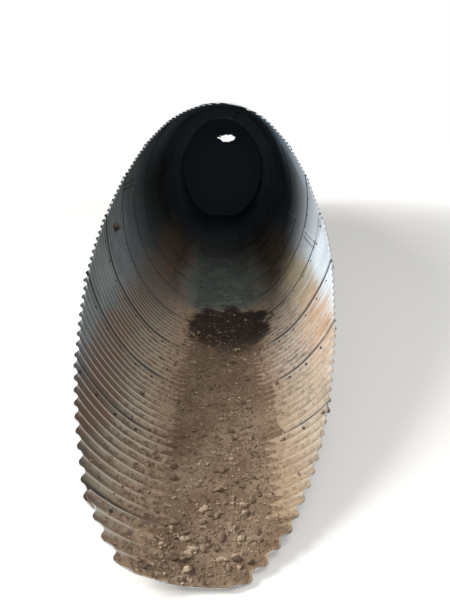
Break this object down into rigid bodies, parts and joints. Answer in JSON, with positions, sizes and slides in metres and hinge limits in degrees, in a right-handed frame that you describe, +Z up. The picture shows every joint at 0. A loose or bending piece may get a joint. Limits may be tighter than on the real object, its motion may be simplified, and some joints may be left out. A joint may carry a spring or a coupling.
{
  "type": "mitred corrugated culvert end",
  "caption": "Mitre-cut end of a riveted, annularly corrugated steel culvert pipe, skewed to its bank, with a banded coupling joint and the barrel that runs on behind it.",
  "frame": {"origin": "on the square rear end of the barrel, in the wall at its lowest point, where the pipe's next length would butt", "axes": "+Y runs up the barrel from the mouth to the rear end, +Z is up, +X is to the right of someone facing the mouth"},
  "size_m": [1.8156, 9.4145, 2.0509],
  "materials": {
    "galvanised_sheet": "weathered galvanised sheet, rusted along the water line and soiled below it",
    "coupling_band": "dull galvanised band, dark from lying in earth"
  },
  "bodies": {
    "root": {"left_sheet_01": "galvanised_sheet", "right_sheet_01": "galvanised_sheet", "invert_sheet_02": "galvanised_sheet", "left_sheet_03": "galvanised_sheet", "right_sheet_03": "galvanised_sheet", "invert_sheet_04": "galvanised_sheet", "left_sheet_05": "galvanised_sheet", "right_sheet_05": "galvanised_sheet", "invert_sheet_06": "galvanised_sheet", "left_shoulder_06": "galvanised_sheet", "right_shoulder_06": "galvanised_sheet", "left_sheet_07": "galvanised_sheet", "right_sheet_07": "galvanised_sheet", "invert_sheet_08": "galvanised_sheet", "left_shoulder_08": "galvanised_sheet", "right_shoulder_08": "galvanised_sheet", "left_sheet_09": "galvanised_sheet", "right_sheet_09": "galvanised_sheet", "crown_sheet_10": "galvanised_sheet", "invert_sheet_10": "galvanised_sheet", "upper_band": "coupling_band", "lower_band": "coupling_band", "left_sheet_11": "galvanised_sheet", "right_sheet_11": "galvanised_sheet", "crown_sheet_12": "galvanised_sheet", "invert_sheet_12": "galvanised_sheet", "left_sheet_13": "galvanised_sheet", "right_sheet_13": "galvanised_sheet", "crown_sheet_14": "galvanised_sheet", "invert_sheet_14": "galvanised_sheet", "left_sheet_15": "galvanised_sheet", "right_sheet_15": "galvanised_sheet", "crown_sheet_16": "galvanised_sheet", "invert_sheet_16": "galvanised_sheet"}
  },
  "joints": []
}
